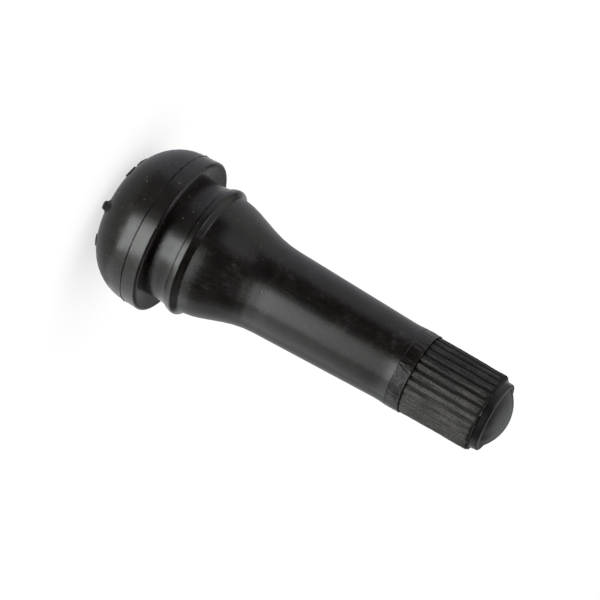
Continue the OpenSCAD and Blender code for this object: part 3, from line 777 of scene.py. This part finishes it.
for piece, node, finish in (
        (pin, "core_pin", "brass"), (cup, "pin_cup", "brass"), (cup_seal, "cup_seal", "seal_rubber")):
    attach(piece, "pin")
    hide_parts(node)


# Core plug. Brass, turned and milled: a short threaded sleeve that swivels on the barrel's neck,
# with a flat-sided bridge on top for the core key and an air passage on each side of it.

plug_thread_len = 3.5
plug_run_out = 0.2
plug_bridge_t = 0.6
plug_head_r, plug_head_round = 2.25, 0.2
plug_flats_w = 2.3
plug_hollow_r = 1.77
plug_lip_t = 0.7
swivel_gap = 0.06
plug_neck_r = swivel_r + swivel_gap
sleeve_top_z = plug_z + plug_thread_len
plug = turned("core_plug_threaded", [
    (plug_neck_r, plug_z, fine_edge),
    (core_thread_r - core_thread_depth, plug_z),
    (core_thread_r, plug_z + core_thread_depth),
    (core_thread_r, sleeve_top_z - core_thread_depth),
    (core_thread_r - core_thread_depth, sleeve_top_z),
    (plug_hollow_r, sleeve_top_z, fine_edge),
    (plug_hollow_r, plug_z + plug_lip_t),
    (plug_neck_r, plug_z + plug_lip_t, fine_edge),
], sides=96, longest=thread_step)
grown(plug, thread_tree, brass, **in_mm(
    wall_radius=core_thread_r, wall_play=core_thread_depth, pitch=core_pitch, depth=core_thread_depth,
    foot=plug_z - core_pitch, top=sleeve_top_z + core_pitch, run_out=plug_run_out))
bridge = turned("plug_bridge", [
    (pin_hole_r, sleeve_top_z - plug_bridge_t, fine_edge),
    (plug_head_r, sleeve_top_z - plug_bridge_t),
    (plug_head_r, plug_top_z, plug_head_round),
    (pin_hole_r, plug_top_z, fine_edge),
], sides=96, longest=0.4)
flat_y = plug_flats_w / 2 * MM
for v in bridge.data.vertices:
    v.co.y = max(-flat_y, min(flat_y, v.co.y))
bridge.data.materials.append(brass)
joint = plug.modifiers.new("bridge", "BOOLEAN")
joint.object = bridge
joint.operation = "UNION"
joint.solver = "EXACT"
plain(plug)
bpy.data.objects.remove(bridge)
plug.data.set_sharp_from_angle(angle=SHARP_EDGE)
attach(plug, "plug")
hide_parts("core_plug")


# Cap washer. A punched rubber ring under the cap's ceiling, which seals on the stem's tip.
# It rises with the cap, but it stays still on the tip while the cap turns on it.

washer_z, washer_top_z, washer_r = extent("cap_seal")
washer_hole_r = 1.9
washer_edge = 0.05
washer = turned("cap_washer_ring", [
    (washer_hole_r, washer_z, washer_edge),
    (washer_r, washer_z, washer_edge),
    (washer_r, washer_top_z, washer_edge),
    (washer_hole_r, washer_top_z, washer_edge),
], sides=96, longest=0.3)
washer.data.materials.append(seal_rubber)
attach(washer, "cap_washer")
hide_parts("cap_seal")


# Dust cap. Charcoal nylon, moulded with grip ridges, a plain collar, a domed end and its own inner thread.
# It screws onto the stem's tip until its washer is tight, and its ridges are scuffed from handling.

cap_z, dome_top_z, cap_r = extent("cap_shell")
cap_gap = 0.07
cap_bore_r = thread_r + cap_gap
cap_lead = 0.2
cap_thread_step = 0.13
cap_root_r = 4.4
cap_top_r = 4.7
ridges = 28
steps_per_ridge = 14
groove_mouth, groove_floor = 0.5, 0.3
first_groove = math.radians(9.5)
worn_side = math.radians(-25)
shallowest_groove, worn_groove = 0.7, 0.3
ridge_end_slope = 0.08
ridge_bevel, ridge_bevel_round, ridge_top_round = 0.18, 0.1, 0.06
foot_bevel, foot_edge, foot_round = 0.09, 0.03, 0.04
ridge_top_rise = 0.1
ridge_top_z = washer_top_z + ridge_top_rise
ridge_end_band = 0.5
crown_r = 4.22
crown_h = 0.95
crown_draft = 0.05
crown_z = ridge_top_z + crown_h
crown_bevel = 0.2
crown_rim_w = 0.6
recess_h, recess_edge = 0.75, 0.1
recess_z = washer_top_z + recess_h
dome_h = dome_top_z - crown_z
dome_foot_r = crown_r - crown_rim_w
dome_sphere_r = (dome_foot_r ** 2 + dome_h ** 2) / 2 / dome_h
dome_half_angle = math.asin(dome_foot_r / dome_sphere_r) / 2

tree, given = new_shape_tree(
    "grip_ridges", "Root radius", "Ridges", "First groove", "Groove mouth", "Groove floor",
    "Ridge top", "Ragged end", "Ragged side", "Wear", "Wear size", "Worn side", "Seed")
outward, radius, angle, height = polar(tree)
from_groove = add(tree, MATH, {0: angle, 1: given["First groove"]}, "SUBTRACT")
ridge_turns = add(tree, MATH, {0: from_groove, 1: given["Ridges"]}, "MULTIPLY")
pitches = add(tree, MATH, {0: ridge_turns, 1: FULL_TURN}, "DIVIDE")
off_centre = add(tree, MATH, {0: pitches, 1: half_pitch}, "PINGPONG")
girth = add(tree, MATH, {0: radius, 1: FULL_TURN}, "MULTIPLY")
pitch_length = add(tree, MATH, {0: girth, 1: given["Ridges"]}, "DIVIDE")
aside = add(tree, MATH, {0: off_centre, 1: pitch_length}, "MULTIPLY")
# Dents drawn out along the ridges make the grooves' sides wander and the ridges' tops uneven
dents_per_metre = add(tree, MATH, {0: 1.0, 1: given["Wear size"]}, "DIVIDE")
drawn_out = add(tree, VECTOR_MATH, {
    0: add(tree, "GeometryNodeInputPosition"), 1: (1.0, 1.0, 0.08)}, "MULTIPLY")
dents = add(tree, NOISE, {
    "Vector": drawn_out, "W": given["Seed"], "Scale": dents_per_metre, "Detail": 3.0}, noise_dimensions="4D")
dented = add(tree, MAP_RANGE, {"Value": dents, 1: 0.35, 2: 0.65})
uneven = add(tree, MATH, {0: dented, 1: 0.5}, "SUBTRACT")
wandering = add(tree, MATH, {0: uneven, 1: given["Ragged side"], 2: aside}, "MULTIPLY_ADD")
half_mouth = add(tree, MATH, {0: given["Groove mouth"], 1: 2.0}, "DIVIDE")
half_floor = add(tree, MATH, {0: given["Groove floor"], 1: 2.0}, "DIVIDE")
groove = add(tree, MAP_RANGE, {
    "Value": wandering, 1: half_mouth, 2: half_floor}, interpolation_type="SMOOTHSTEP")
stands_out = add(tree, MATH, {0: radius, 1: given["Root radius"]}, "SUBTRACT")
ridge_height = add(tree, MATH, {0: stands_out, 1: 0.0}, "MAXIMUM")
# Grooves differ a little in depth and are almost worn away on one side, and each ridge ends at its own height
groove_number = add(tree, MATH, {0: pitches}, "ROUND")
filled = add(tree, "FunctionNodeRandomValue", {
    2: shallowest_groove, 3: 1.0, "ID": groove_number, "Seed": given["Seed"]}, data_type="FLOAT")
from_worn_side = add(tree, MATH, {0: angle, 1: given["Worn side"]}, "SUBTRACT")
nearness = add(tree, MATH, {0: from_worn_side}, "COSINE")
left_open = add(tree, MAP_RANGE, {"Value": nearness, 1: 0.55, 2: 0.9, 3: 1.0, 4: worn_groove})
clean_groove = add(tree, MATH, {0: groove, 1: filled.outputs[1]}, "MULTIPLY")
open_groove = add(tree, MATH, {0: clean_groove, 1: left_open}, "MULTIPLY")
ridge_number = add(tree, MATH, {0: pitches}, "FLOOR")
short = add(tree, "FunctionNodeRandomValue", {"ID": ridge_number, "Seed": given["Seed"]}, data_type="FLOAT")
torn = add(tree, MATH, {0: short.outputs[1], 1: dented}, "ADD")
shorter = add(tree, MATH, {0: torn, 1: given["Ragged end"]}, "MULTIPLY")
ridge_end = add(tree, MATH, {0: given["Ridge top"], 1: shorter}, "SUBTRACT")
end_slope = add(tree, MATH, {0: ridge_end, 1: ridge_end_slope * MM}, "SUBTRACT")
past_end = add(tree, MAP_RANGE, {"Value": height, 1: end_slope, 2: ridge_end})
gone = add(tree, MATH, {0: open_groove, 1: past_end}, "MAXIMUM")
groove_depth = add(tree, MATH, {0: ridge_height, 1: gone}, "MULTIPLY")
worn_off = add(tree, MATH, {0: uneven, 1: given["Wear"]}, "MULTIPLY")
on_ridge = add(tree, MATH, {0: ridge_height, 1: 0.0}, "GREATER_THAN")
wear_here = add(tree, MATH, {0: worn_off, 1: on_ridge}, "MULTIPLY")
pulled = add(tree, MATH, {0: groove_depth, 1: wear_here}, "ADD")
ridge_tree = pull_in(tree, given, outward, radius, pulled)

# Moulded nylon: charcoal with a low sheen, paler scuffs on the ridges, fine rubbing lines along them, and
# painted light on one half
nylon, tree, shader, spot = new_material("moulded_nylon")
line_space = add(tree, "ShaderNodeMapping", {"Vector": spot, "Scale": (1.0, 1.0, 0.06)})
lines = add(tree, NOISE, {"Vector": line_space, "Scale": per_mm(0.16), "Detail": 4.0})
patches = add(tree, NOISE, {"Vector": spot, "Scale": per_mm(2.2), "Detail": 4.0})
# Only what stands out gets rubbed: from just above the grooves' floors to just below the ridges' tops
rubbed_from_r, rubbed_most_r = cap_root_r + 0.05, cap_top_r - 0.02
level_spot = add(tree, VECTOR_MATH, {0: spot, 1: (1.0, 1.0, 0.0)}, "MULTIPLY")
from_axis = add(tree, VECTOR_MATH, {0: level_spot}, "LENGTH").outputs["Value"]
stands_out = add(tree, MAP_RANGE, {"Value": from_axis, 1: rubbed_from_r * MM, 2: rubbed_most_r * MM})
# Scratched grit of about 0.05 mm is drawn at 0.2 mm so that it shows
grit = add(tree, NOISE, {"Vector": spot, "Scale": per_mm(0.2), "Detail": 4.0, "Roughness": 0.75})
lines_and_grit = add(tree, MIX, {"Factor": 0.6, 2: lines, 3: grit})
scratched = add(tree, MAP_RANGE, {"Value": lines_and_grit, 1: 0.36, 2: 0.64})
rubbed = add(tree, MATH, {0: scratched, 1: patches}, "MULTIPLY")
rubbed_tops = add(tree, MATH, {0: rubbed, 1: stands_out}, "MULTIPLY")
# Painted light: the scuffs are painted paler on the half of the cap about the direction set here, and darker
# on the other half, where less light falls
painted_light_side = (0.92, -0.39, 0.0)
way_out = add(tree, VECTOR_MATH, {0: level_spot}, "NORMALIZE")
sideways = add(tree, VECTOR_MATH, {0: way_out, 1: painted_light_side}, "DOT_PRODUCT").outputs["Value"]
painted_light_share = add(tree, MAP_RANGE, {"Value": sideways, 1: -0.04, 2: 0.1, 3: 0.5, 4: 1.2})
rubbed_and_painted_light = add(tree, MATH, {0: rubbed_tops, 1: painted_light_share}, "MULTIPLY")
charcoal = add(tree, COLOUR_RAMP, {"Fac": rubbed_and_painted_light}, stops=[(0.1, "#151311"), (0.5, "#625d56")])
satin = add(tree, MAP_RANGE, {"Value": lines, 1: 0.3, 2: 0.7, 3: 0.28, 4: 0.38})
# Grime lies in the grooves, below the end of the ridges, and takes their shine
height = add(tree, "ShaderNodeSeparateXYZ", {0: spot}).outputs["Z"]
in_groove = add(tree, MATH, {0: 1.0, 1: stands_out}, "SUBTRACT")
below_end = add(tree, MATH, {0: height, 1: washer_top_z * MM}, "LESS_THAN")
grime = add(tree, MATH, {0: in_groove, 1: below_end}, "MULTIPLY")
matt = add(tree, MATH, {0: stands_out, 1: 0.25, 2: satin}, "MULTIPLY_ADD")
dull = add(tree, MIX, {"Factor": grime, 2: matt, 3: 0.8})
scratch_depth = add(tree, MAP_RANGE, {"Value": stands_out, 3: 0.08, 4: 0.6})
relief = add(tree, BUMP, {"Strength": scratch_depth, "Distance": 0.03 * MM, "Height": scratched})
feed(tree, shader, {"IOR": 1.5, "Base Color": charcoal, "Roughness": dull, "Normal": relief})

cap = turned("dust_cap_moulded", [
    (0, recess_z),
    (washer_hole_r, recess_z, recess_edge),
    (washer_hole_r, washer_top_z),
    (cap_bore_r, washer_top_z),
    (cap_bore_r, cap_z + cap_lead),
    (cap_bore_r + cap_lead, cap_z),
    (cap_r - foot_bevel, cap_z, foot_edge),
    (cap_r, cap_z + foot_bevel, foot_round),
    (cap_top_r, ridge_top_z - ridge_bevel, ridge_bevel_round),
    (cap_top_r - ridge_bevel, ridge_top_z, ridge_top_round),
    (crown_r + crown_draft, ridge_top_z),
    (crown_r - crown_draft, crown_z, crown_bevel),
    (dome_foot_r, crown_z),
    (dome_sphere_r * math.tan(dome_half_angle), dome_top_z, dome_sphere_r),
    (0, dome_top_z),
], sides=ridges * steps_per_ridge, longest=0.35, fine_bands=[
    (cap_z + cap_lead, tip_z, cap_thread_step), (ridge_top_z - ridge_end_band, ridge_top_z, ridge_end_slope)])
grown(cap, ridge_tree, nylon, ridges=float(ridges), first_groove=first_groove, worn_side=worn_side, seed=2.0,
      **in_mm(root_radius=cap_root_r, groove_mouth=groove_mouth, groove_floor=groove_floor,
              ridge_top=ridge_top_z, ragged_end=0.2, ragged_side=0.12, wear=0.1, wear_size=0.24))
grown(cap, thread_tree, nylon, **in_mm(
    wall_radius=cap_bore_r, wall_play=wall_play, pitch=cap_pitch, depth=cap_thread_depth,
    foot=cap_z + cap_lead, top=tip_z - tip_chamfer, run_out=cap_run_out))
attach(cap, "cap")
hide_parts("cap_shell")


# Table and studio. The valve stands on its head on a plain white table in an evenly white studio.
# Cards that only reflections see shape the shine: dark, grey and white ones, and some as bright as a lamp.

room_light = 0.56
table_white, table_paint = 0.68, 0.55


def bare_tree(owner):
    """The node tree of a world or a material, emptied."""
    owner.use_nodes = True
    owner.node_tree.nodes.clear()
    return owner.node_tree


def shown(tree):
    """1 for what the camera, a mirror or a glass sees, which is plain white, and 0 for what is only lit."""
    ray = add(tree, "ShaderNodeLightPath").outputs
    seen = add(tree, MATH, {0: ray["Is Camera Ray"], 1: ray["Is Glossy Ray"]}, "MAXIMUM")
    return add(tree, MATH, {0: seen, 1: ray["Is Transmission Ray"]}, "MAXIMUM")


studio = bpy.data.worlds.new("white_studio")
bpy.context.scene.world = studio
tree = bare_tree(studio)
level = add(tree, MAP_RANGE, {"Value": shown(tree), 3: room_light, 4: 1.0})
walls = add(tree, "ShaderNodeBackground", {"Color": (1.0, 1.0, 1.0, 1.0), "Strength": level})
add(tree, "ShaderNodeOutputWorld", {"Surface": walls})

# White table top: it shows white like the studio, and keeps the part of its light that the valve can shade
white_table = bpy.data.materials.new("white_table")
tree = bare_tree(white_table)
own_white = add(tree, MATH, {0: shown(tree), 1: table_white}, "MULTIPLY")
glow = add(tree, "ShaderNodeEmission", {"Strength": own_white})
paint = add(tree, "ShaderNodeBsdfDiffuse", {"Color": (table_paint, table_paint, table_paint, 1.0)})
add(tree, "ShaderNodeOutputMaterial", {"Surface": add(tree, "ShaderNodeAddShader", {0: glow, 1: paint})})

table_gap = 0.02
table_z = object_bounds()[0].z - table_gap * MM
table_size = 6.0
top = bmesh.new()
bmesh.ops.create_grid(top, x_segments=1, y_segments=1, size=table_size / 2)
top.transform(Matrix.Translation((0, 0, table_z)))
table = as_piece("table_top", top)
table.data.materials.append(white_table)


def card(name, brightness, from_angle, to_angle, near, far, low, high, tint="#f9fffc"):
    """A card bent around the valve that only reflections see, from angle to angle off the camera's side,
    from its near edge at height low to its far edge at height high (mm)."""
    paper = bpy.data.materials.new(name + "_paper")
    tree = bare_tree(paper)
    light = add(tree, "ShaderNodeEmission", {"Color": linear(tint), "Strength": brightness})
    add(tree, "ShaderNodeOutputMaterial", {"Surface": light})
    sheet = bmesh.new()
    bends = 24
    rows = []
    for k in range(bends + 1):
        a = math.radians(from_angle + (to_angle - from_angle) * k / bends)
        out = Vector((math.sin(a), -math.cos(a), 0))
        rows.append([sheet.verts.new((out * near + Vector((0, 0, low))) * MM),
                     sheet.verts.new((out * far + Vector((0, 0, high))) * MM)])
    for a, b in zip(rows, rows[1:]):
        sheet.faces.new((a[0], b[0], b[1], a[1]))
    piece = as_piece(name, sheet)
    piece.data.materials.append(paper)
    piece.visible_camera = False
    piece.visible_diffuse = False
    piece.visible_shadow = False
    piece.visible_transmission = False


# The cards on the left are slightly blue, and the others a cool white
bluish = "#f3f3ff"
card("grey_card_below", 0.5, -180, 180, 4, 14, 0.2, 0.2)
card("dark_card_near", 0.24, -50, 1, 12, 45, 0.3, 0.3)
card("dark_card_far", 0.0, -66, 0, 45, 215, 0.3, 0.3)
card("lamp_card_near", 5.9, 5, 43, 14, 45, 0.4, 0.4)
card("lamp_card_middle", 6.6, 4, 57, 45, 86, 0.4, 0.4)
card("lamp_card_far", 3.0, 4, 57, 86, 165, 0.4, 0.4)
card("lamp_card_end", 2.0, 4, 57, 165, 215, 0.4, 0.4)
card("lamp_card_standing", 2.4, 4, 57, 219, 219, 14, 26)
card("white_card_near", 1.0, 54, 92, 12, 31, 0.4, 0.4)
card("white_card_neck", 1.7, 54, 175, 31, 45, 0.4, 0.4)
card("white_card_far", 1.7, 70, 118, 45, 215, 0.4, 0.4)
card("grey_card_near", 0.6, -130, -50, 8, 45, 0.3, 0.3, tint=bluish)
card("grey_card_far", 0.6, -150, -66, 45, 215, 0.3, 0.3, tint=bluish)
card("grey_card_far_right", 0.6, 118, 210, 45, 215, 0.3, 0.3)
card("dark_card_low", 0.0, -64, -28, 219, 219, 0, 70)
card("grey_card_behind", 0.08, 112, 248, 219, 219, 45, 120)
card("dark_card_standing", 0.0, -28, 98, 220, 220, 0, 300)
card("dark_card_above", 0.0, -60, 110, 5, 220, 300, 300)
card("grey_card_above", 0.5, -125, -60, 5, 220, 300, 300, tint=bluish)
card("grey_card_high", 0.8, 150, 210, 219, 219, 120, 300)
card("white_card_behind", 1.4, 145, 210, 40, 220, 300, 300)
card("dark_card_high", 0.2, 98, 150, 219, 219, 150, 300)
card("grey_card_left", 0.64, -150, -62, 220, 220, 0, 300)
card("grey_card_right", 0.6, 98, 150, 220, 220, 0, 300)

# One large soft lamp above the camera's left gives the table its shadow
lamp = bpy.data.lights.new("softbox", "AREA")
lamp.shape = "SQUARE"
lamp.size = 0.5
lamp_at = Vector((-0.35, -0.25, 0.6))
lamp_brightness = 1.2
lamp.energy = lamp_brightness * math.pi * lamp.size ** 2
softbox = bpy.data.objects.new("softbox", lamp)
softbox.location = lamp_at
softbox.rotation_euler = (-lamp_at).to_track_quat("-Z", "Y").to_euler()
softbox.visible_camera = False
bpy.context.scene.collection.objects.link(softbox)


# Camera. It looks slightly down on the standing valve and is rolled, so that the valve lies across the
# picture with its cap at the lower right.

view_distance = 294.42
view_elevation = math.radians(13.84)
roll = math.radians(119.85)
aim = Vector((-0.57, 0, 24.18))
camera_data = bpy.data.cameras.new("camera")
camera_data.lens = 154.96
camera_data.sensor_width = 36.0
camera_data.clip_start = 0.01
camera_data.clip_end = 20.0
camera = bpy.data.objects.new("camera", camera_data)
bpy.context.scene.collection.objects.link(camera)
tilt = Matrix.Rotation(math.pi / 2 - view_elevation, 4, "X")
back = tilt @ Vector((0, 0, 1))
camera.matrix_world = (Matrix.Translation((aim + back * view_distance) * MM)
                       @ tilt @ Matrix.Rotation(roll, 4, "Z"))
bpy.context.scene.camera = camera
bpy.context.scene.view_settings.view_transform = "Standard"
